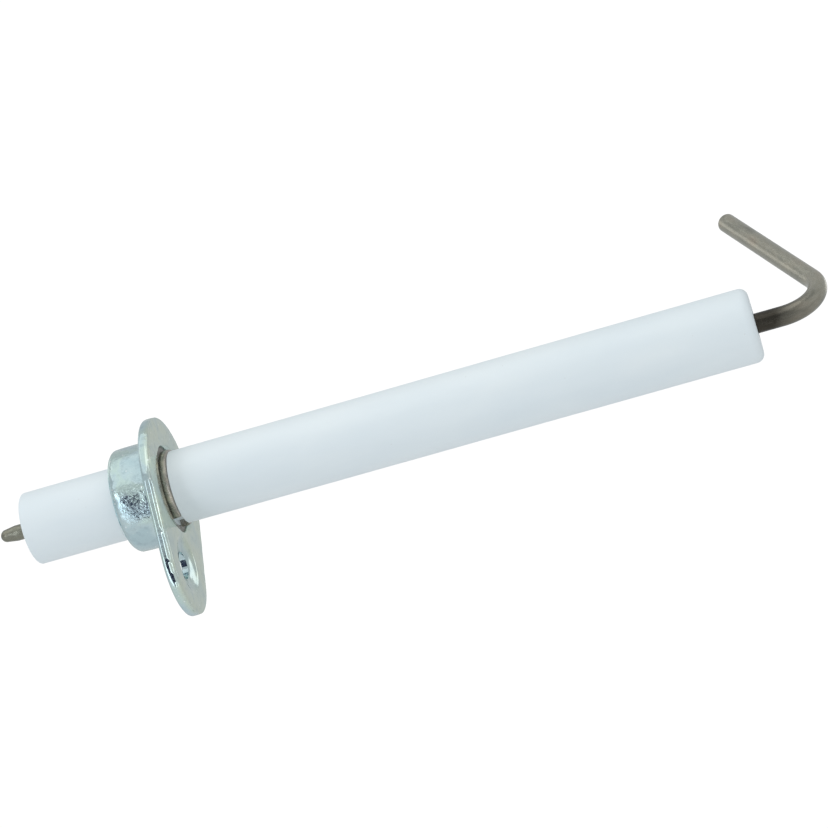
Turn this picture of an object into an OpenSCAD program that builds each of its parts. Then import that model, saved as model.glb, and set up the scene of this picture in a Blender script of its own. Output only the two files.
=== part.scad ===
// Ignition electrode with a plain ceramic insulator, a pressed flange and a bent spark rod.
// The origin is the centre of the flange's flat seat face, on the axis of the insulator.
// +X runs along the rod to its bend, and the flange's screw lobe hangs towards -Z.
// All sizes are in millimetres.

/* [Insulator] */
// Outside diameter of the ceramic tube
ceramic_d = 12; // [10:0.5:13]
// Length of ceramic on the cable side of the seat face
ceramic_back = 24.7; // [20:0.1:40]
// Length of ceramic on the spark side of the seat face
ceramic_front = 96.6; // [40:0.1:200]
// Rounding of the cable end of the ceramic
back_round = 0.3; // [0.2:0.1:1]
// Rounding of the spark end of the ceramic
front_round = 1.4; // [0.3:0.1:1.6]
// Diameter of the ceramic's long bore
ceramic_bore_d = 3.5; // [3.4:0.1:4]
// Diameter of the cement pocket at each end of the bore
pocket_d = 5.4; // [4.8:0.1:6]
// Depth of each cement pocket
pocket_depth = 5; // [3:0.5:8]

/* [Spark rod] */
// Diameter of the heat-resisting rod
rod_d = 3.2; // [2.8:0.1:3.3]
// Diameter of the turned pin that the cable's connector pushes on to
pin_d = 2.6; // [2.2:0.1:2.8]
// Length of the turned pin outside the ceramic
pin_l = 5.5; // [5:0.5:12]
// Length of the pin's straight part, next to the ceramic
pin_straight = 2.8; // [2:0.1:3.5]
// Diameter of the pin's round tip
pin_tip_d = 2.1; // [1.2:0.1:2.2]
// Straight length of rod between the ceramic and the bend
rod_lead = 4.2; // [3:0.1:20]
// Bend radius of the rod's centre line
bend_r = 6.5; // [5:0.5:12]
// Angle that the rod is bent through
bend_angle = 112; // [90:1:120]
// Turn of the bend's plane about the insulator, from +Z towards +Y
bend_turn = 38; // [0:1:90]
// Straight length of the bent-back leg
leg_l = 29; // [10:0.5:40]
// Broken edge on the cut end of the leg
tip_chamfer = 0.25; // [0.1:0.05:0.5]

/* [Flange] */
// Thickness of the flange plate
plate_t = 1.8; // [1.5:0.1:2]
// Radius of the plate's large round end, about the insulator
plate_r = 12; // [11:0.5:14]
// Radius of the plate's small round end, the screw lobe
lobe_r = 9; // [8:0.5:11]
// Distance between the centres of the plate's two round ends
lobe_drop = 12.4; // [10:0.1:16]
// Outside diameter of the drawn collar
collar_d = 17.2; // [17:0.1:18.5]
// Sheet thickness of the collar's wall
collar_wall = 1.5; // [1.2:0.1:1.6]
// Depth of the collar from the seat face to its flat closed-in end
collar_depth = 8.4; // [7.5:0.1:10]
// Sheet thickness of the closed-in end
end_t = 1.4; // [1:0.1:1.6]
// Rounding of the corner between the collar's wall and its end
end_round = 0.8; // [0.5:0.1:1]
// Gap between the closed-in end and the ceramic
end_gap = 0.05; // [0.02:0.01:0.2]
// Drawing radius where the seat face runs into the collar's bore
mouth_round = 0.7; // [0.4:0.1:1.4]
// Fillet between the collar and the back of the plate
root_fillet = 0.9; // [0.5:0.1:1.5]
// Diameter of the screw hole in the lobe
screw_d = 4.5; // [4.3:0.1:5.3]
// Distance of the screw hole from the insulator's axis
screw_drop = 13.2; // [12.8:0.1:14]
// Diameter of the screw hole's countersink on the seat face
sink_d = 9.2; // [8:0.1:10]
// Depth of the countersink
sink_depth = 0.7; // [0.5:0.1:1]

/* [Retaining ring and packing] */
// Width of the ring along the axis
ring_w = 1.4; // [1:0.1:1.6]
// Height of the ring above the ceramic's surface
ring_proud = 0.35; // [0.2:0.05:0.5]
// Depth of the ring's groove in the ceramic
groove_depth = 0.85; // [0.6:0.05:1]
// How far the ring stands out past the seat face
ring_out = 0.85; // [0.6:0.05:1.3]
// Play of the ring along the axis in its groove, on each side
ring_play = 0.05; // [0.02:0.01:0.2]
// Opening of the ring at its bottom
ring_opening = 40; // [20:5:100]
// Gap between the ring and the packing that centres the ceramic in the collar
packing_gap = 0.25; // [0.1:0.05:3]

/* [Hidden] */
$fn = 96;

ceramic_r = ceramic_d / 2;
collar_r = collar_d / 2;
collar_bore_r = collar_r - collar_wall;
ring_in_r = ceramic_r - groove_depth;
ring_out_r = ceramic_r + ring_proud;
packing_l = collar_depth - end_t - (ring_w - ring_out) - packing_gap;
ring_round = 0.25;
hem_round = 0.3;
cement_recess = 0.3;
bend_swell = 0.04;
bend_overlap = 0.25;
through = 1;

// Turns a shape built up the Z axis so that it lies along +X, with its own +X pointing down.
module along_x() {
    rotate([0, 90, 0]) children();
}

// A square section with four equal rounded corners, its low corner at the origin.
module rounded_section(w, h, r) {
    translate([r, 0]) square([w - 2 * r, h]);
    translate([0, r]) square([w, h - 2 * r]);
    for (x = [r, w - r], y = [r, h - r]) translate([x, y]) circle(r, $fn = 32);
}

// Half section of the ceramic: its outline from the bore to the surface, ends rounded.
module ceramic_section() {
    l = ceramic_back + ceramic_front;
    difference() {
        union() {
            translate([0, back_round]) square([ceramic_r, l - back_round - front_round]);
            square([ceramic_r - back_round, l]);
            square([ceramic_r - front_round, l]);
            translate([ceramic_r - back_round, back_round]) circle(back_round, $fn = 48);
            translate([ceramic_r - front_round, l - front_round]) circle(front_round, $fn = 48);
        }
        translate([-through, -through]) square([through + ceramic_bore_d / 2, l + 2 * through]);
        translate([-through, -through]) square([through + pocket_d / 2, through + pocket_depth]);
        translate([-through, l - pocket_depth]) square([through + pocket_d / 2, through + pocket_depth]);
        translate([ring_in_r, ceramic_back + ring_out - ring_w - ring_play])
            square([2 * groove_depth, ring_w + 2 * ring_play]);
    }
}

// White ceramic tube: one long bore for the rod, a cement pocket at each end and a ring groove.
module ceramic_insulator() {
    color("whitesmoke")
        translate([-ceramic_back, 0, 0]) along_x() rotate_extrude() ceramic_section();
}

// The rod outside the ceramic, bent back in a plane through the insulator's axis. The bend is
// a trace thicker than the straight rod, which runs a short way into it at both ends.
module bent_leg() {
    translate([ceramic_front + rod_lead, 0, bend_r]) {
        rotate([90, 90, 0])
            rotate_extrude(angle = bend_angle)
                translate([bend_r, 0]) circle(d = rod_d + bend_swell, $fn = 48);
        translate([bend_r * sin(bend_angle), 0, -bend_r * cos(bend_angle)])
            rotate([0, 90 - bend_angle, 0]) {
                translate([0, 0, -bend_overlap])
                    cylinder(h = bend_overlap + leg_l - tip_chamfer, d = rod_d, $fn = 48);
                translate([0, 0, leg_l - tip_chamfer])
                    cylinder(h = tip_chamfer, d1 = rod_d, d2 = rod_d - 2 * tip_chamfer, $fn = 48);
            }
    }
}

// Half section of the straight rod, from the round tip of the cable pin to the bend.
module straight_rod_section() {
    pin_r = pin_d / 2;
    tip_r = pin_tip_d / 2;
    intersection() {
        translate([0, tip_r]) circle(tip_r, $fn = 48);
        square([tip_r, tip_r]);
    }
    polygon([[0, tip_r], [tip_r, tip_r], [pin_r, pin_l - pin_straight], [pin_r, pin_l], [0, pin_l]]);
    translate([0, pin_l])
        square([rod_d / 2, ceramic_back + ceramic_front + rod_lead + bend_overlap]);
}

// One heat-resisting rod: a turned pin for the cable, the run through the ceramic, the bent leg.
module electrode_rod() {
    color("dimgray") {
        translate([-ceramic_back - pin_l, 0, 0]) along_x() rotate_extrude($fn = 48) straight_rod_section();
        rotate([-bend_turn, 0, 0]) bent_leg();
    }
}

// Outline of the flange plate: a large and a small round end joined by their common tangents.
module plate_outline() {
    lean = asin((plate_r - lobe_r) / lobe_drop);
    large = plate_r * [sin(lean), cos(lean)];
    small = [lobe_drop, 0] + lobe_r * [sin(lean), cos(lean)];
    circle(plate_r);
    translate([lobe_drop, 0]) circle(lobe_r);
    polygon([large, small, [small[0], -small[1]], [large[0], -large[1]]]);
}

// Half section of the drawn collar: rounded mouth, root fillet, straight wall, flat end.
module collar_section() {
    hem_r = ceramic_r + end_gap;
    difference() {
        translate([collar_bore_r, end_round - collar_depth]) square([collar_wall, collar_depth - end_round]);
        translate([collar_bore_r, -mouth_round]) difference() {
            translate([-through, 0]) square([through + mouth_round, through + mouth_round]);
            translate([mouth_round, 0]) circle(mouth_round, $fn = 48);
        }
    }
    translate([collar_r, -plate_t - root_fillet]) difference() {
        translate([-collar_wall / 2, 0]) square([collar_wall / 2 + root_fillet, root_fillet]);
        translate([root_fillet, 0]) circle(root_fillet, $fn = 48);
    }
    translate([collar_r - end_round, end_round - collar_depth]) circle(end_round, $fn = 48);
    translate([hem_r + hem_round, -collar_depth])
        square([collar_r - end_round - hem_r - hem_round, end_t]);
    translate([hem_r, -collar_depth]) rounded_section(3 * hem_round, end_t, hem_round);
}

// Pressed steel flange: a flat plate with a countersunk screw hole, and its drawn collar.
module mounting_flange() {
    color("lightsteelblue") along_x() {
        difference() {
            translate([0, 0, -plate_t]) linear_extrude(plate_t) plate_outline();
            translate([0, 0, -plate_t - through])
                cylinder(h = plate_t + 2 * through, r = collar_bore_r + mouth_round);
            translate([screw_drop, 0, 0]) {
                translate([0, 0, -plate_t - through]) cylinder(h = plate_t + 2 * through, d = screw_d);
                translate([0, 0, -sink_depth]) cylinder(h = sink_depth, d1 = screw_d, d2 = sink_d);
            }
        }
        rotate_extrude() collar_section();
    }
}

// Open spring ring in the ceramic's groove, at the mouth of the collar.
module retaining_ring() {
    color("slategray")
        translate([ring_out - ring_w, 0, 0]) along_x() rotate([0, 0, ring_opening / 2])
            rotate_extrude(angle = 360 - ring_opening)
                translate([ring_in_r, 0]) rounded_section(ring_out_r - ring_in_r, ring_w, ring_round);
}

// Packing sleeve between the collar and the ceramic, against the collar's closed-in end.
module collar_packing() {
    color("dimgray")
        translate([end_t - collar_depth, 0, 0]) along_x() difference() {
            cylinder(h = packing_l, r = collar_bore_r);
            translate([0, 0, -through]) cylinder(h = packing_l + 2 * through, r = ceramic_r);
        }
}

// Ring of cement round the rod, filling the pocket almost to the ceramic's end face.
module cement_ring() {
    along_x() difference() {
        cylinder(h = pocket_depth - cement_recess, d = pocket_d);
        translate([0, 0, -through]) cylinder(h = pocket_depth + 2 * through, d = rod_d);
    }
}

// Cement at the spark end of the ceramic.
module spark_end_cement() {
    color("wheat") translate([ceramic_front - pocket_depth, 0, 0]) cement_ring();
}

// Cement at the cable end of the ceramic.
module cable_end_cement() {
    color("wheat") translate([-ceramic_back + cement_recess, 0, 0]) cement_ring();
}

ceramic_insulator();
electrode_rod();
mounting_flange();
retaining_ring();
collar_packing();
spark_end_cement();
cable_end_cement();
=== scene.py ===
"""Looks of an ignition electrode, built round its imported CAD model. All lengths are in metres."""

import math

import bmesh
import bpy
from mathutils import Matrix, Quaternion, Vector, geometry, noise


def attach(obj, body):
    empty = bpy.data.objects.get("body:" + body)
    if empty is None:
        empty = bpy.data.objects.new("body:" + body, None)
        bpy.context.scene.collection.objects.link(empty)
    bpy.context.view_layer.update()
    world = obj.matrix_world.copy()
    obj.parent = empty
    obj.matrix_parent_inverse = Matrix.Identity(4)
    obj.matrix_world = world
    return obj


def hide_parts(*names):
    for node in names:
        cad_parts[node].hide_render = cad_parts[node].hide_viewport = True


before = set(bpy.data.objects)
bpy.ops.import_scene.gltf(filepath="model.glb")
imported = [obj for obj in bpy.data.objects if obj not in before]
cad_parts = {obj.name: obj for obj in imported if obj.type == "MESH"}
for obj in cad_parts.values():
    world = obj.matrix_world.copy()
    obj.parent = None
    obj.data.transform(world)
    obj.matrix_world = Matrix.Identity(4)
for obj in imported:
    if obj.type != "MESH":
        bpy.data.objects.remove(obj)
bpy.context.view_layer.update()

MM = 0.001

# Sizes repeated from the CAD model.
CERAMIC_R = 6.0 * MM
CERAMIC_BACK = -24.7 * MM
CERAMIC_FRONT = 96.6 * MM
BACK_ROUND = 0.3 * MM
FRONT_ROUND = 1.4 * MM
CERAMIC_BORE_R = 1.75 * MM
POCKET_R = 2.7 * MM
POCKET_DEPTH = 5.0 * MM
RING_IN_R = 5.15 * MM
RING_OUT_R = 6.35 * MM
RING_FRONT = 0.85 * MM
RING_BACK = -0.55 * MM
RING_PLAY = 0.05 * MM
RING_OPENING = math.radians(40)
ROD_R = 1.6 * MM
PIN_R = 1.3 * MM
PIN_TIP_R = 1.05 * MM
PIN_TIP = -30.2 * MM
PIN_STRAIGHT = 2.8 * MM
BEND_START = 100.8 * MM
BEND_R = 6.5 * MM
BEND_ANGLE = math.radians(112)
BEND_TURN = math.radians(38)
LEG_LENGTH = 29.0 * MM
PLATE_T = 1.8 * MM
PLATE_R = 12.0 * MM
LOBE_R = 9.0 * MM
LOBE_DROP = 12.4 * MM
COLLAR_R = 8.6 * MM
COLLAR_BORE_R = 7.1 * MM
COLLAR_DEPTH = 8.4 * MM
END_T = 1.4 * MM
END_ROUND = 0.8 * MM
HEM_R = 6.05 * MM
HEM_ROUND = 0.3 * MM
MOUTH_ROUND = 0.7 * MM
ROOT_FILLET = 0.9 * MM
SCREW_DROP = 13.2 * MM
SCREW_R = 2.25 * MM
SINK_R = 4.6 * MM
SINK_DEPTH = 0.7 * MM


# ---------------------------------------------------------------- shapes


def arc(centre_x, centre_r, radius, start, end, steps):
    """Points (x, r) of a circle's arc, angles in degrees counted from +x towards +r."""
    angles = [math.radians(start + (end - start) * i / steps) for i in range(steps + 1)]
    return [(centre_x + radius * math.cos(a), centre_r + radius * math.sin(a)) for a in angles]


def straight(start, end, steps):
    """Points between two (x, r) points, both ends left out."""
    return [
        (start[0] + (end[0] - start[0]) * i / steps, start[1] + (end[1] - start[1]) * i / steps)
        for i in range(1, steps)
    ]


def with_steps(profile, longest):
    """The profile with its long straight runs cut into steps."""
    points = []
    for i, here in enumerate(profile):
        after = profile[(i + 1) % len(profile)]
        length = math.hypot(after[0] - here[0], after[1] - here[1])
        points.append(here)
        points.extend(straight(here, after, max(1, math.ceil(length / longest))))
    return points


class Shape:
    """A mesh made of rings of points, with a UV map in metres along and round the surface."""

    def __init__(self):
        self.points, self.faces, self.uvs = [], [], []

    def ring(self, points):
        first = len(self.points)
        self.points.extend(points)
        return list(range(first, first + len(points)))

    def bridge(self, a, b, uv_a, uv_b, closed=True):
        """Quads between two rings. uv_a and uv_b hold one UV for each point, and one more to close."""
        count = len(a)
        for i in range(count if closed else count - 1):
            j = (i + 1) % count
            self.faces.append((a[i], a[j], b[j], b[i]))
            self.uvs.append((uv_a[i], uv_a[i + 1], uv_b[i + 1], uv_b[i]))

    def cap(self, ring, uv):
        self.faces.append(tuple(ring))
        self.uvs.append(tuple(uv[: len(ring)]))

    def bridge_all(self, rings, uvs):
        for i in range(len(rings) - 1):
            self.bridge(rings[i], rings[i + 1], uvs[i], uvs[i + 1])

    def plane(self, outer, holes, inner_points, facing):
        """Triangles in a plane of constant x, between an outer ring and the rings of its holes. They
        face +X if facing is 1 and -X if it is -1."""
        rings = [outer, *holes]
        used = [i for ring in rings for i in ring]
        flat = [Vector(self.points[i][1:]) for i in used]
        edges, first = [], 0
        for ring in rings:
            edges += [(first + i, first + (i + 1) % len(ring)) for i in range(len(ring))]
            first += len(ring)
        x = self.points[outer[0]][0]
        used += self.ring([(x, p[0], p[1]) for p in inner_points])
        flat += [Vector(p) for p in inner_points]
        hole_loops = [[self.points[i][1:] for i in ring] for ring in holes]
        _, _, faces, origins, *_ = geometry.delaunay_2d_cdt(flat, edges, [], 1, 1e-9)
        outer_loop = [self.points[i][1:] for i in outer]
        for face in faces:
            sources = [used[origins[v][0]] for v in face]
            corners = [self.points[i] for i in sources]
            centre = [sum(c[k] for c in corners) / 3 for k in (1, 2)]
            if not inside(centre, outer_loop) or any(inside(centre, loop) for loop in hole_loops):
                continue
            (ay, az), (by, bz), (cy, cz) = (c[1:] for c in corners)
            turn = (by - ay) * (cz - az) - (bz - az) * (cy - ay)
            if turn * facing < 0:
                sources.reverse()
                corners.reverse()
            self.faces.append(tuple(sources))
            self.uvs.append(tuple((c[2], c[1]) for c in corners))

    def build(self, name, sharp=40.0):
        mesh = bpy.data.meshes.new(name)
        mesh.from_pydata(self.points, [], self.faces)
        layer = mesh.uv_layers.new(name="UVMap")
        for polygon, uvs in zip(mesh.polygons, self.uvs):
            for corner, uv in zip(polygon.loop_indices, uvs):
                layer.data[corner].uv = uv
        tidy = bmesh.new()
        tidy.from_mesh(mesh)
        bmesh.ops.recalc_face_normals(tidy, faces=tidy.faces)
        tidy.to_mesh(mesh)
        tidy.free()
        mesh.shade_smooth()
        mesh.set_sharp_from_angle(angle=math.radians(sharp))
        piece = bpy.data.objects.new(name, mesh)
        bpy.context.scene.collection.objects.link(piece)
        return piece


def inside(point, loop):
    """True if the point is inside the closed loop."""
    hit = False
    for (ay, az), (by, bz) in zip(loop, loop[1:] + loop[:1]):
        if (az > point[1]) != (bz > point[1]):
            if point[0] < ay + (by - ay) * (point[1] - az) / (bz - az):
                hit = not hit
    return hit


def lathe(name, profile, around, start=0.0, sweep=2 * math.pi, moved=None):
    """A closed profile of (x, r) points turned about the X axis, from +Z towards +Y. moved(x, r, angle)
    gives each point's place, and so the small unevenness of the real surface."""
    shape = Shape()
    full = sweep > 2 * math.pi - 1e-6
    count = around if full else around + 1
    angles = [start + sweep * i / around for i in range(count)]
    lengths = [0.0]
    for here, after in zip(profile, profile[1:] + profile[:1]):
        lengths.append(lengths[-1] + math.hypot(after[0] - here[0], after[1] - here[1]))
    rings = []
    for x, r in profile:
        places = [moved(x, r, a) if moved else (x, r) for a in angles]
        rings.append(
            shape.ring([(px, pr * math.sin(a), pr * math.cos(a)) for (px, pr), a in zip(places, angles)])
        )
    reference = max(r for _, r in profile)
    uv = [[(u, (start + sweep * i / around) * reference) for i in range(around + 1)] for u in lengths]
    for i in range(len(profile)):
        shape.bridge(rings[i], rings[(i + 1) % len(profile)], uv[i], uv[i + 1], full)
    if not full:
        for end in (0, -1):
            shape.cap([ring[end] for ring in rings], profile)
    return shape.build(name)


# ---------------------------------------------------------------- pieces


def uneven(x, angle, size, seed):
    """Smooth noise from -1 to 1 over a surface of revolution. size is the length of its waves."""
    reach = CERAMIC_R / size
    return noise.noise(Vector((x / size + seed, reach * math.cos(angle), reach * math.sin(angle))))


def make_ceramic():
    """The ceramic tube, a little uneven outside, as fired ceramic is."""
    r, back, front = CERAMIC_R, CERAMIC_BACK, CERAMIC_FRONT
    rim = 0.15 * MM
    outside = [
        *arc(back + BACK_ROUND, r - BACK_ROUND, BACK_ROUND, 180, 90, 8),
        (RING_BACK - RING_PLAY, r),
        (RING_BACK - RING_PLAY, RING_IN_R),
        (RING_FRONT + RING_PLAY, RING_IN_R),
        (RING_FRONT + RING_PLAY, r),
        *arc(front - FRONT_ROUND, r - FRONT_ROUND, FRONT_ROUND, 90, 0, 10),
    ]
    bore = [
        (front, POCKET_R + rim),
        (front - rim, POCKET_R),
        (front - POCKET_DEPTH, POCKET_R),
        (front - POCKET_DEPTH, CERAMIC_BORE_R),
        (back + POCKET_DEPTH, CERAMIC_BORE_R),
        (back + POCKET_DEPTH, POCKET_R),
        (back + rim, POCKET_R),
        (back, POCKET_R + rim),
    ]

    def moved(x, radius, angle):
        if radius < RING_IN_R + 0.01 * MM:
            return x, radius
        sag = 0.012 * MM * (1 + uneven(x, angle, 9 * MM, 3.1))
        ripple = 0.006 * MM * (1 + uneven(x, angle, 2 * MM, 8.7))
        return x, radius - (sag + ripple)

    piece = lathe("ceramic", with_steps(outside + bore, 2.0 * MM), 128, moved=moved)
    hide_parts("ceramic_insulator")
    return piece


def make_ring():
    """The spring ring, open on the side of the screw hole, with rounded corners."""
    corner = 0.25 * MM
    front, back = RING_FRONT - corner, RING_BACK + corner
    outer, inner = RING_OUT_R - corner, RING_IN_R + corner
    section = [
        *arc(front, outer, corner, 90, 0, 5),
        *arc(front, inner, corner, 0, -90, 5),
        *arc(back, inner, corner, -90, -180, 5),
        *arc(back, outer, corner, 180, 90, 5),
    ]
    start = math.pi + RING_OPENING / 2

    def moved(x, radius, angle):
        if radius < outer:
            return x, radius
        return x, radius - 0.02 * MM * (1 + uneven(x, angle, 1.5 * MM, 5.0))

    piece = lathe("spring_ring", section, 120, start, 2 * math.pi - RING_OPENING, moved)
    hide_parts("retaining_ring")
    return piece


def plate_loop(inset, count_round, count_side):
    """Points (y, z) of the plate's outline, moved inwards by inset."""
    lean = math.degrees(math.asin((PLATE_R - LOBE_R) / LOBE_DROP))
    large = arc(0.0, 0.0, PLATE_R - inset, -lean, 180 + lean, count_round)
    small = arc(0.0, -LOBE_DROP, LOBE_R - inset, 180 + lean, 360 - lean, count_round)
    down, up = straight(large[-1], small[0], count_side), straight(small[-1], large[0], count_side)
    return large + down + small + up


def circle(radius, centre_z, count):
    """Points (y, z) of a circle round the point (0, centre_z)."""
    turns = [2 * math.pi * i / count for i in range(count)]
    return [(radius * math.sin(a), centre_z + radius * math.cos(a)) for a in turns]


def uv_round(loop, along):
    """UVs for a ring: the same place along for all, and the distance walked round."""
    walked, uvs = 0.0, [(along, 0.0)]
    for (ay, az), (by, bz) in zip(loop, loop[1:] + loop[:1]):
        walked += math.hypot(by - ay, bz - az)
        uvs.append((along, walked))
    return uvs


def make_flange():
    """The pressed flange in one closed mesh: punched plate, countersunk hole, drawn collar."""
    shape = Shape()
    front_x, back_x = 0.0, -PLATE_T

    # Punched edge, as (x, inset in millimetres): rolled over at the back, smooth, then rough where the
    # steel broke, with a burr along the seat face's rim.
    smooth_rings, unburred_rings = 7, 9
    edge = [
        (back_x, 0.55), (back_x + 0.04 * MM, 0.34), (back_x + 0.14 * MM, 0.17),
        (back_x + 0.30 * MM, 0.06), (back_x + 0.50 * MM, 0.02), (back_x + 1.00 * MM, 0.02),
        (front_x - 0.50 * MM, 0.03), (front_x - 0.38 * MM, 0.10), (front_x - 0.26 * MM, 0.10),
        (front_x - 0.14 * MM, 0.06), (front_x - 0.06 * MM, 0.14), (front_x - 0.10 * MM, 0.34),
        (front_x - 0.04 * MM, 0.60), (front_x, 0.90),
    ]
    rings, uvs, along = [], [], 0.0
    for index, (x, inset) in enumerate(edge):
        loop = plate_loop(inset * MM, count_round=72, count_side=14)
        rough = 0.07 if smooth_rings <= index < len(edge) - 1 else 0.0
        points = []
        for y, z in loop:
            wave = rough * noise.noise(Vector((y, z, x * 3)) / (0.7 * MM))
            wave += 0.6 * rough * noise.noise(Vector((y, z, x)) / (0.25 * MM) + Vector((7, 1, 3)))
            shrink = 1 - max(0.0, wave) * MM / PLATE_R
            lift = 0.6 * wave * MM if index >= unburred_rings else 0.0
            highest = front_x - 0.005 * MM
            points.append((min(x + lift, highest) if lift else x, y * shrink, z * shrink))
        rings.append(shape.ring(points))
        uvs.append(uv_round(loop, along))
        along += 0.2 * MM
    shape.bridge_all(rings, uvs)
    back_edge, front_edge = rings[0], rings[-1]

    # Collar, from the seat face through the bore, round the closed-in end and back up to the plate.
    end_x = -COLLAR_DEPTH
    profile = [
        *arc(-MOUTH_ROUND, COLLAR_BORE_R + MOUTH_ROUND, MOUTH_ROUND, 0, -90, 8),
        *straight((-MOUTH_ROUND, COLLAR_BORE_R), (end_x + END_T, COLLAR_BORE_R), 6),
        (end_x + END_T, COLLAR_BORE_R),
        *arc(end_x + END_T - HEM_ROUND, HEM_R + HEM_ROUND, HEM_ROUND, 0, -90, 4),
        *arc(end_x + HEM_ROUND, HEM_R + HEM_ROUND, HEM_ROUND, -90, -180, 4),
        *straight((end_x, HEM_R + HEM_ROUND), (end_x, COLLAR_R - END_ROUND), 5),
        *arc(end_x + END_ROUND, COLLAR_R - END_ROUND, END_ROUND, 180, 90, 10),
        *straight((end_x + END_ROUND, COLLAR_R), (back_x - ROOT_FILLET, COLLAR_R), 12),
        *arc(back_x - ROOT_FILLET, COLLAR_R + ROOT_FILLET, ROOT_FILLET, -90, 0, 7),
    ]
    around = 180
    angles = [2 * math.pi * i / around for i in range(around)]

    def pressed(x, r, a):
        """Press marks round the collar's corner, and its drawn wall: a little barrelled and uneven."""
        outside = r > COLLAR_R - 0.7 * END_ROUND
        if not outside or x > back_x - ROOT_FILLET * 0.5:
            return x, r
        from_middle = (x - (end_x + back_x) / 2) / (COLLAR_DEPTH - PLATE_T) * 2
        dent = 0.13 * from_middle**2 + 0.015 * (1 + uneven(x, a, 2 * MM, 1.7))
        near_corner = max(0.0, 1 - abs(x - end_x - 0.5 * MM) / (0.8 * MM))
        dent += near_corner * 0.20 * max(0.0, uneven(x * 0.4, a, 0.8 * MM, 4.2))
        return x + 0.5 * dent * near_corner * MM, r - dent * MM

    rings, uvs, along = [], [], 0.0
    for x, r in profile:
        points = []
        for a in angles:
            px, pr = pressed(x, r, a)
            points.append((px, pr * math.sin(a), pr * math.cos(a)))
        rings.append(shape.ring(points))
        uvs.append([(along, COLLAR_R * 2 * math.pi * i / around) for i in range(around + 1)])
        along += 0.3 * MM
    shape.bridge_all(rings, uvs)
    mouth, root = rings[0], rings[-1]

    # Screw hole: a dished countersink with a soft rim, then the plain hole.
    hole = [
        (front_x, SINK_R + 0.45 * MM), (front_x - 0.02 * MM, SINK_R + 0.22 * MM),
        (front_x - 0.08 * MM, SINK_R), (front_x - 0.18 * MM, SINK_R - 0.25 * MM),
        (front_x - 0.32 * MM, SINK_R - 0.65 * MM), (front_x - 0.50 * MM, SINK_R - 1.30 * MM),
        (front_x - SINK_DEPTH + 0.08 * MM, SCREW_R + 0.25 * MM),
        (front_x - SINK_DEPTH - 0.08 * MM, SCREW_R),
        (back_x + 0.1 * MM, SCREW_R), (back_x, SCREW_R + 0.08 * MM),
    ]
    rings, uvs = [], []
    for index, (x, r) in enumerate(hole):
        loop = circle(r, -SCREW_DROP, 72)
        rings.append(shape.ring([(x, y, z) for y, z in loop]))
        uvs.append(uv_round(loop, index * 0.3 * MM))
    shape.bridge_all(rings, uvs)

    shape.plane(front_edge, [mouth, rings[0]], grid_points(8.6 * MM, 5.5 * MM), 1)
    shape.plane(back_edge, [root, rings[-1]], grid_points(10.0 * MM, 3.1 * MM), -1)
    piece = shape.build("flange", 35.0)
    even = piece.modifiers.new("even_normals", "WEIGHTED_NORMAL")
    even.keep_sharp = True
    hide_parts("mounting_flange")
    return piece


def grid_points(collar_clear, hole_clear):
    """Points (y, z) of a staggered grid on the plate, clear of its edge, collar and screw hole."""
    step, points = 1.2 * MM, []
    inner = plate_loop(1.0 * MM, count_round=24, count_side=8)
    for i in range(-12, 13):
        for j in range(-20, 13):
            y, z = i * step + (j % 2) * step / 2, j * step
            clear = math.hypot(y, z) > collar_clear and math.hypot(y, z + SCREW_DROP) > hole_clear
            if clear and inside((y, z), inner):
                points.append((y, z))
    return points


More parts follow.
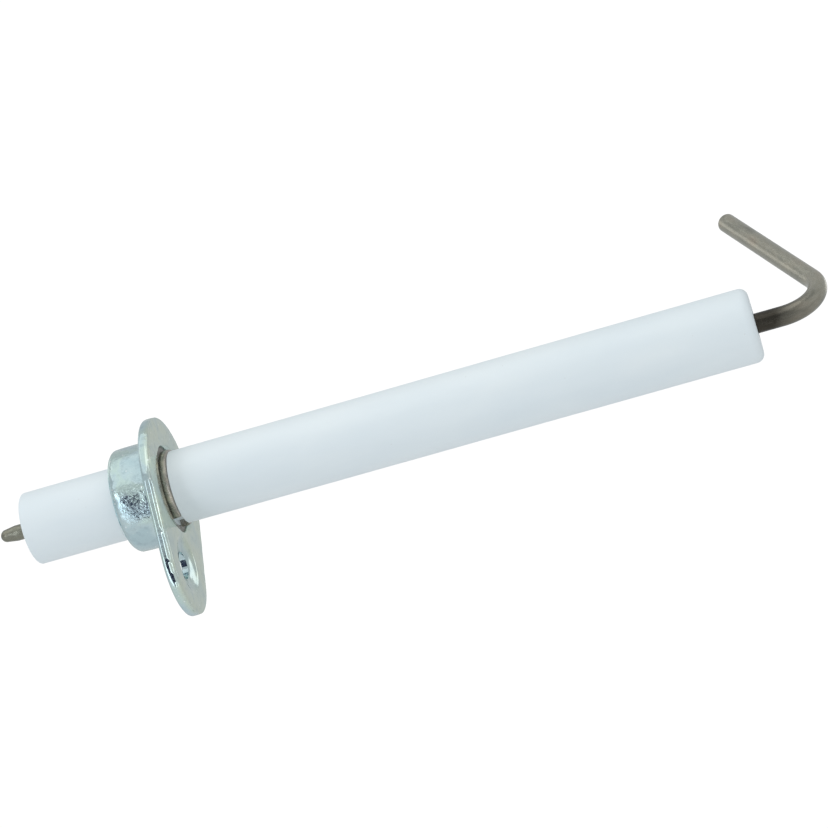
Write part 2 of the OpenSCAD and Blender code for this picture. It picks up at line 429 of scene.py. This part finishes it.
def make_rod():
    """The one round rod: the turned pin, the straight run, the bend, the leg and its rounded tip."""
    across = Vector((0, math.sin(BEND_TURN), math.cos(BEND_TURN)))
    ahead = Vector((1, 0, 0))
    side = ahead.cross(across)
    pin_end = CERAMIC_BACK
    chamfer = 0.08 * MM

    # Each station has a centre, a direction, a radius and how much it is flattened, from 0 to 1.
    stations = []
    for x, r in arc(PIN_TIP + PIN_TIP_R, 0.0, PIN_TIP_R, 180, 90, 8):
        stations.append((Vector((x, 0, 0)), ahead, max(r, 0.02 * MM), 0.0))
    shoulder = (pin_end - PIN_STRAIGHT, PIN_R)
    for x, r in [*straight((PIN_TIP + PIN_TIP_R, PIN_TIP_R), shoulder, 6), shoulder]:
        stations.append((Vector((x, 0, 0)), ahead, r, 0.0))
    stations.append((Vector((pin_end - 0.05 * MM, 0, 0)), ahead, PIN_R, 0.0))
    stations.append((Vector((pin_end, 0, 0)), ahead, PIN_R + 0.05 * MM, 0.0))
    stations.append((Vector((pin_end, 0, 0)), ahead, ROD_R - chamfer, 0.0))
    stations.append((Vector((pin_end + chamfer, 0, 0)), ahead, ROD_R, 0.0))
    run_steps, bend_steps, leg_steps, rim_steps = 60, 48, 40, 6
    for i in range(1, run_steps + 1):
        x = pin_end + chamfer + (BEND_START - pin_end - chamfer) * i / run_steps
        stations.append((Vector((x, 0, 0)), ahead, ROD_R, 0.0))
    bend_start = Vector((BEND_START, 0, 0))
    for i in range(1, bend_steps + 1):
        a = BEND_ANGLE * i / bend_steps
        centre = bend_start + ahead * BEND_R * math.sin(a) + across * BEND_R * (1 - math.cos(a))
        flat = math.sin(math.pi * i / bend_steps)
        stations.append((centre, ahead * math.cos(a) + across * math.sin(a), ROD_R, flat))
    corner, along = stations[-1][0], stations[-1][1]
    rim, length = 0.32 * MM, LEG_LENGTH - 0.06 * MM
    for i in range(1, leg_steps + 1):
        stations.append((corner + along * (length - rim) * i / leg_steps, along, ROD_R, 0.0))
    for i in range(1, rim_steps + 1):
        a = math.radians(90 * i / rim_steps)
        step = length - rim + rim * math.sin(a)
        stations.append((corner + along * step, along, ROD_R - rim * (1 - math.cos(a)), 0.0))
    stations.append((corner + along * length, along, 0.5 * MM, 0.0))

    shape, count = Shape(), 48
    rings, uvs, walked, last_centre = [], [], 0.0, stations[0][0]
    for centre, direction, radius, flat in stations:
        out = side.cross(direction)
        walked += (centre - last_centre).length
        last_centre = centre
        points = []
        for i in range(count):
            a = 2 * math.pi * i / count
            # A bent rod is pressed a little flat across its bend and stays full sideways.
            wide = radius * (1 - 0.035 * flat)
            spot = out * math.cos(a) * wide + side * math.sin(a) * radius
            grain = noise.noise((centre + spot) / (1.6 * MM))
            spot *= 1 - 0.006 * (1 + grain)
            points.append(tuple(centre + spot))
        rings.append(shape.ring(points))
        uvs.append([(walked, ROD_R * 2 * math.pi * i / count) for i in range(count + 1)])
    shape.cap(rings[0], uvs[0])
    shape.bridge_all(rings, uvs)
    shape.cap(rings[-1], uvs[-1])
    piece = shape.build("rod", 50.0)
    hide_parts("electrode_rod")
    return piece


# ---------------------------------------------------------------- materials


class Finish:
    """A procedural material: a principled shader and the nodes that feed it."""

    def __init__(self, name, coordinates="Object"):
        self.material = bpy.data.materials.new(name)
        self.material.use_nodes = True
        self.tree = self.material.node_tree
        self.shader = self.tree.nodes["Principled BSDF"]
        self.place = self.node("ShaderNodeTexCoord").outputs[coordinates]

    def node(self, kind, **settings):
        made = self.tree.nodes.new(kind)
        for key, value in settings.items():
            setattr(made, key, value)
        return made

    def feed(self, socket, value):
        if isinstance(value, bpy.types.NodeSocket):
            self.tree.links.new(value, socket)
        else:
            socket.default_value = value

    def noise(self, wave, detail=3.0, rough=0.5, stretch=(1, 1, 1), warp=0.0):
        """Smooth noise whose waves are about this long, in metres. A stretch under 1 draws it out."""
        mapping = self.node("ShaderNodeMapping")
        self.feed(mapping.inputs["Vector"], self.place)
        mapping.inputs["Scale"].default_value = stretch
        made = self.node("ShaderNodeTexNoise")
        self.feed(made.inputs["Vector"], mapping.outputs["Vector"])
        made.inputs["Scale"].default_value = 1 / wave
        made.inputs["Detail"].default_value = detail
        made.inputs["Roughness"].default_value = rough
        made.inputs["Distortion"].default_value = warp
        return made.outputs["Fac"]

    def cells(self, size):
        """Distance to the nearest of scattered spots, as a part of size. They are about size apart."""
        made = self.node("ShaderNodeTexVoronoi")
        self.feed(made.inputs["Vector"], self.place)
        made.inputs["Scale"].default_value = 1 / size
        return made.outputs["Distance"]

    def ramp(self, fac, *stops):
        made = self.node("ShaderNodeValToRGB")
        self.feed(made.inputs["Fac"], fac)
        band = made.color_ramp
        while len(band.elements) < len(stops):
            band.elements.new(0.5)
        for element, (position, colour) in zip(band.elements, stops):
            element.position = position
            element.color = (*colour, 1)
        return made.outputs["Color"]

    def levels(self, fac, low, high, out_low=0.0, out_high=1.0):
        made = self.node("ShaderNodeMapRange")
        self.feed(made.inputs["Value"], fac)
        limits = {"From Min": low, "From Max": high, "To Min": out_low, "To Max": out_high}
        for key, value in limits.items():
            made.inputs[key].default_value = value
        return made.outputs["Result"]

    def mix(self, fac, a, b, blend="MIX"):
        made = self.node("ShaderNodeMix", data_type="RGBA", blend_type=blend)
        self.feed(made.inputs["Factor"], fac)
        self.feed(made.inputs[6], a)
        self.feed(made.inputs[7], b)
        return made.outputs[2]

    def math(self, operation, a, b):
        made = self.node("ShaderNodeMath", operation=operation)
        self.feed(made.inputs[0], a)
        self.feed(made.inputs[1], b)
        return made.outputs[0]

    def part(self, axis):
        """One coordinate of the place: 0, 1 or 2."""
        made = self.node("ShaderNodeSeparateXYZ")
        self.feed(made.inputs[0], self.place)
        return made.outputs[axis]

    def bump(self, height, distance, strength=1.0, under=None):
        made = self.node("ShaderNodeBump")
        self.feed(made.inputs["Height"], height)
        made.inputs["Distance"].default_value = distance
        self.feed(made.inputs["Strength"], strength)
        if under is not None:
            self.feed(made.inputs["Normal"], under)
        return made.outputs["Normal"]

    def surface(self, colour, roughness, normal=None, metallic=0.0, **constants):
        self.feed(self.shader.inputs["Base Color"], colour)
        self.feed(self.shader.inputs["Roughness"], roughness)
        self.shader.inputs["Metallic"].default_value = metallic
        if normal is not None:
            self.feed(self.shader.inputs["Normal"], normal)
        for key, value in constants.items():
            self.shader.inputs[key.replace("_", " ")].default_value = value
        return self.material


def ceramic_finish():
    """Fired white ceramic, satin, with faint clouding, fine grain and a few grey specks."""
    f = Finish("ceramic_white")
    cloud = f.noise(7 * MM, detail=4, stretch=(0.35, 1, 1))
    colour = f.ramp(cloud, (0.30, (0.782, 0.853, 0.878)), (0.70, (0.833, 0.892, 0.903)))
    specks = f.levels(f.cells(3.2 * MM), 0.028, 0.040, 1.0, 0.0)
    colour = f.mix(f.math("MULTIPLY", specks, 0.30), colour, (0.62, 0.62, 0.60, 1))
    streak = f.levels(f.noise(1.1 * MM, detail=2, stretch=(0.05, 1, 1)), 0.35, 0.65)
    roughness = f.levels(f.math("ADD", streak, cloud), 0.4, 1.6, 0.40, 0.52)
    grain = f.noise(0.22 * MM, detail=4, rough=0.6)
    normal = f.bump(grain, 0.012 * MM, 0.5)
    normal = f.bump(f.noise(5 * MM, detail=1, stretch=(0.3, 1, 1)), 0.05 * MM, 0.5, normal)
    return f.surface(
        colour, roughness, normal, Specular_IOR_Level=0.45, Coat_Weight=0.06, Coat_Roughness=0.3
    )


def zinc_finish():
    """Bright zinc plate over worked sheet steel: a faint blue-green bloom, yellower on the seat face,
    rippled where the collar was drawn and smoother on the plate."""
    f = Finish("zinc_plate")
    bloom = f.noise(4.5 * MM, detail=3, warp=0.6)
    colour = f.ramp(
        bloom,
        (0.32, (0.500, 0.640, 0.670)),
        (0.46, (0.580, 0.710, 0.725)),
        (0.58, (0.600, 0.735, 0.690)),
        (0.72, (0.555, 0.680, 0.660)),
    )
    collar_side, plate_side = -PLATE_T - 0.5 * MM, -PLATE_T + 0.05 * MM
    seat = f.levels(f.part(0), -1.0 * MM, -0.02 * MM, 0.0, 0.8)
    colour = f.mix(seat, colour, f.ramp(bloom, (0.35, (0.58, 0.67, 0.60)), (0.65, (0.68, 0.73, 0.58))))
    stain = f.levels(f.noise(1.1 * MM, detail=5, rough=0.65), 0.50, 0.70)
    colour = f.mix(f.math("MULTIPLY", stain, 0.30), colour, (0.27, 0.34, 0.38, 1))
    flakes = f.levels(f.cells(1.5 * MM), 0.07, 0.11, 1.0, 0.0)
    colour = f.mix(f.math("MULTIPLY", flakes, 0.7), colour, (0.93, 0.97, 0.95, 1))
    scuff = f.noise(0.40 * MM, detail=4, rough=0.7, stretch=(0.5, 1, 1), warp=0.8)
    plate_sheen = f.levels(f.part(0), collar_side, plate_side, 1.0, 0.6)
    roughness = f.math("MULTIPLY", f.levels(scuff, 0.35, 0.68, 0.11, 0.28), plate_sheen)
    drawn = f.levels(f.part(0), collar_side, plate_side, 0.52, 0.10)
    ripples = f.bump(f.noise(0.50 * MM, detail=3, rough=0.55, warp=0.5), 0.07 * MM, drawn)
    dents = f.bump(f.noise(2.4 * MM, detail=2), 0.20 * MM, f.math("MULTIPLY", drawn, 0.8), ripples)
    return f.surface(colour, roughness, dents, metallic=1.0)


def rod_finish():
    """Heat-resisting alloy under a brown-grey oxide skin; the colour is darkened to near black just out
    of the ceramic. The
    UV map's first part is the distance along the rod from the pin's tip."""
    f = Finish("oxidised_alloy", "UV")
    patch = f.noise(2.4 * MM, detail=4, stretch=(0.4, 1, 1))
    colour = f.ramp(
        patch,
        (0.30, (0.268, 0.260, 0.218)),
        (0.46, (0.365, 0.352, 0.290)),
        (0.60, (0.402, 0.374, 0.302)),
        (0.76, (0.375, 0.320, 0.250)),
    )
    lines = f.noise(0.22 * MM, detail=4, rough=0.65, stretch=(0.25, 1, 1))
    colour = f.mix(f.levels(lines, 0.45, 0.75, 0.0, 0.40), colour, (0.62, 0.60, 0.54, 1))
    # The colour is darkened to near black up to about 4.5 mm out of the ceramic, fading back to full
    # colour by about 14 mm, with a ragged edge.
    exit_u = CERAMIC_FRONT - PIN_TIP
    along = f.math("ADD", f.part(0), f.math("MULTIPLY", patch, 4 * MM))
    away = f.levels(along, exit_u + 4.5 * MM, exit_u + 14 * MM)
    darker_near_ceramic = f.mix(away, (0.15, 0.14, 0.135, 1), (1, 1, 1, 1))
    pin = f.levels(f.part(0), 8 * MM, 9 * MM, 1.0, 0.0)
    colour = f.mix(1.0, colour, f.mix(pin, darker_near_ceramic, (0.66, 0.68, 0.66, 1)), "MULTIPLY")
    roughness = f.levels(f.noise(0.6 * MM, detail=4, stretch=(0.4, 1, 1)), 0.3, 0.7, 0.18, 0.32)
    normal = f.bump(lines, 0.03 * MM, 0.5)
    normal = f.bump(f.noise(0.40 * MM, detail=3, rough=0.5), 0.05 * MM, 0.5, normal)
    return f.surface(colour, roughness, normal, metallic=1.0)


def ring_finish():
    """Spring steel, still shiny, with a thin straw-brown film."""
    f = Finish("spring_steel")
    film = f.noise(1.2 * MM, detail=3)
    colour = f.ramp(film, (0.35, (0.30, 0.29, 0.26)), (0.65, (0.46, 0.42, 0.35)))
    roughness = f.levels(f.noise(0.4 * MM, detail=4), 0.3, 0.7, 0.18, 0.30)
    return f.surface(colour, roughness, f.bump(film, 0.02 * MM, 0.3), metallic=1.0)


def packing_finish():
    """Pale grey pressed mineral packing."""
    f = Finish("packing")
    fibre = f.noise(0.5 * MM, detail=5, rough=0.7, stretch=(1, 1, 0.3))
    colour = f.ramp(fibre, (0.35, (0.36, 0.35, 0.33)), (0.70, (0.56, 0.55, 0.52)))
    return f.surface(colour, f.levels(fibre, 0.3, 0.7, 0.8, 0.95), f.bump(fibre, 0.08 * MM, 0.8))


def cement_finish():
    """Cream furnace cement, sandy and a little stained."""
    f = Finish("cement")
    sand = f.noise(0.35 * MM, detail=5, rough=0.7)
    colour = f.ramp(sand, (0.30, (0.40, 0.36, 0.29)), (0.70, (0.66, 0.61, 0.52)))
    return f.surface(colour, f.levels(sand, 0.3, 0.7, 0.75, 0.95), f.bump(sand, 0.10 * MM, 0.8))


def dress(piece, finish):
    piece.data.materials.clear()
    piece.data.materials.append(finish)


# ---------------------------------------------------------------- the electrode

pieces = {
    make_ceramic(): ceramic_finish(),
    make_flange(): zinc_finish(),
    make_rod(): rod_finish(),
    make_ring(): ring_finish(),
}
for piece, finish in pieces.items():
    dress(piece, finish)
    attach(piece, "root")
cement = cement_finish()
dress(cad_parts["spark_end_cement"], cement)
dress(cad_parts["cable_end_cement"], cement)
dress(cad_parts["collar_packing"], packing_finish())


# ---------------------------------------------------------------- camera, floor and light

AIM = Vector((40.9, -0.34, 0.94)) * MM
CAMERA_AZIMUTH = math.radians(9.40)
CAMERA_ELEVATION = math.radians(-22.19)
CAMERA_ROLL = math.radians(-12.27)
CAMERA_DISTANCE = 403.8 * MM
CAMERA_LENS = 110.4
FLOOR_Z = -0.70
FLOOR_R = 6.0
COLLAR_MIDDLE = Vector((-5, 0, 0)) * MM
PANEL_DISTANCE = 0.436


def from_aim(azimuth, elevation, distance):
    """A place round the object, by its direction as seen from the object."""
    flat = math.cos(elevation)
    direction = Vector((math.sin(azimuth) * flat, -math.cos(azimuth) * flat, math.sin(elevation)))
    return AIM + distance * direction


def point_at(obj, target, roll=0.0):
    turn = (target - obj.location).to_track_quat("-Z", "Y")
    obj.rotation_mode = "QUATERNION"
    obj.rotation_quaternion = turn @ Quaternion((0, 0, 1), roll)


def make_camera():
    data = bpy.data.cameras.new("camera")
    data.sensor_width = 36.0
    data.lens = CAMERA_LENS
    data.clip_start = 0.01
    camera = bpy.data.objects.new("camera", data)
    bpy.context.scene.collection.objects.link(camera)
    camera.location = from_aim(CAMERA_AZIMUTH, CAMERA_ELEVATION, CAMERA_DISTANCE)
    point_at(camera, AIM, CAMERA_ROLL)
    bpy.context.scene.camera = camera


def make_light(name, azimuth, elevation, distance, size, watts):
    """A round white lamp aimed at the object, by its direction from the object in degrees."""
    data = bpy.data.lights.new(name, "AREA")
    data.shape = "DISK"
    data.size = size
    data.energy = watts
    light = bpy.data.objects.new(name, data)
    bpy.context.scene.collection.objects.link(light)
    light.location = from_aim(math.radians(azimuth), math.radians(elevation), distance)
    point_at(light, AIM)


def make_panel(name, along, elevation, width, height, colour, glow=0.0, solid=True):
    """A flat studio panel facing the collar, dark or glowing, that the camera doesn't see. It stands at
    the X position along, elevation in degrees above the electrode. One that isn't solid shows only its
    glow, only in reflections, and casts no shadow."""
    bpy.ops.mesh.primitive_plane_add(size=1)
    panel = bpy.context.object
    panel.name = name
    panel.scale = (width, height, 1)
    turn = math.radians(elevation)
    panel.location = (along, -PANEL_DISTANCE * math.cos(turn), PANEL_DISTANCE * math.sin(turn))
    point_at(panel, COLLAR_MIDDLE)
    panel.visible_camera = False
    panel.visible_diffuse = panel.visible_shadow = solid
    f = Finish(name)
    f.feed(f.shader.inputs["Emission Color"], (*colour, 1))
    dress(panel, f.surface((*colour, 1) if solid else (0, 0, 0, 1), 0.9, Emission_Strength=glow))


def make_floor():
    bpy.ops.mesh.primitive_circle_add(vertices=96, radius=FLOOR_R, fill_type="NGON")
    floor = bpy.context.object
    floor.location = (0, 0, FLOOR_Z)
    floor.name = "floor"
    f = Finish("floor_white")
    shade = f.ramp(f.noise(0.4, detail=2), (0.3, (0.88, 0.88, 0.885)), (0.7, (0.90, 0.90, 0.90)))
    f.feed(f.shader.inputs["Emission Color"], (1, 1, 1, 1))
    dress(floor, f.surface(shade, 0.85, Emission_Strength=0.12))


def make_world():
    """A white tent: even light all round, and plain white where the camera looks past the object."""
    world = bpy.data.worlds.new("tent")
    bpy.context.scene.world = world
    world.use_nodes = True
    tree = world.node_tree
    tree.nodes.clear()
    seen, light = tree.nodes.new("ShaderNodeBackground"), tree.nodes.new("ShaderNodeBackground")
    seen.inputs["Color"].default_value = (1, 1, 1, 1)
    seen.inputs["Strength"].default_value = 1.05
    light.inputs["Color"].default_value = (0.93, 0.97, 1.0, 1)
    light.inputs["Strength"].default_value = 0.62
    path = tree.nodes.new("ShaderNodeLightPath")
    mix = tree.nodes.new("ShaderNodeMixShader")
    output = tree.nodes.new("ShaderNodeOutputWorld")
    tree.links.new(path.outputs["Is Camera Ray"], mix.inputs["Fac"])
    tree.links.new(light.outputs[0], mix.inputs[1])
    tree.links.new(seen.outputs[0], mix.inputs[2])
    tree.links.new(mix.outputs[0], output.inputs["Surface"])


make_camera()
make_floor()
make_world()
make_light("key", -16, 48, 0.80, 1.15, 2.35)
make_light("fill", 55, 9, 0.9, 0.9, 0.4)
make_light("leg_light", -112, 36, 0.5, 0.20, 0.045)
make_light("dish_light", 141, 21, 0.5, 0.16, 0.045)

# The collar and the plate's edge reflect the grey panel above and the dark one below, between strips.
make_panel("grey_panel", -0.112, 50, 0.34, 0.62, (0.93, 0.98, 1.0), 0.92, solid=False)
make_panel("dark_panel", -0.110, -38, 0.125, 0.48, (0.012, 0.017, 0.060))
make_panel("left_strip", -0.215, -34, 0.09, 0.60, (0.9, 0.95, 1.0), 1.7)
make_panel("right_strip", -0.020, -34, 0.07, 0.60, (0.9, 0.95, 1.0), 1.6)
bpy.context.scene.view_settings.view_transform = "Standard"
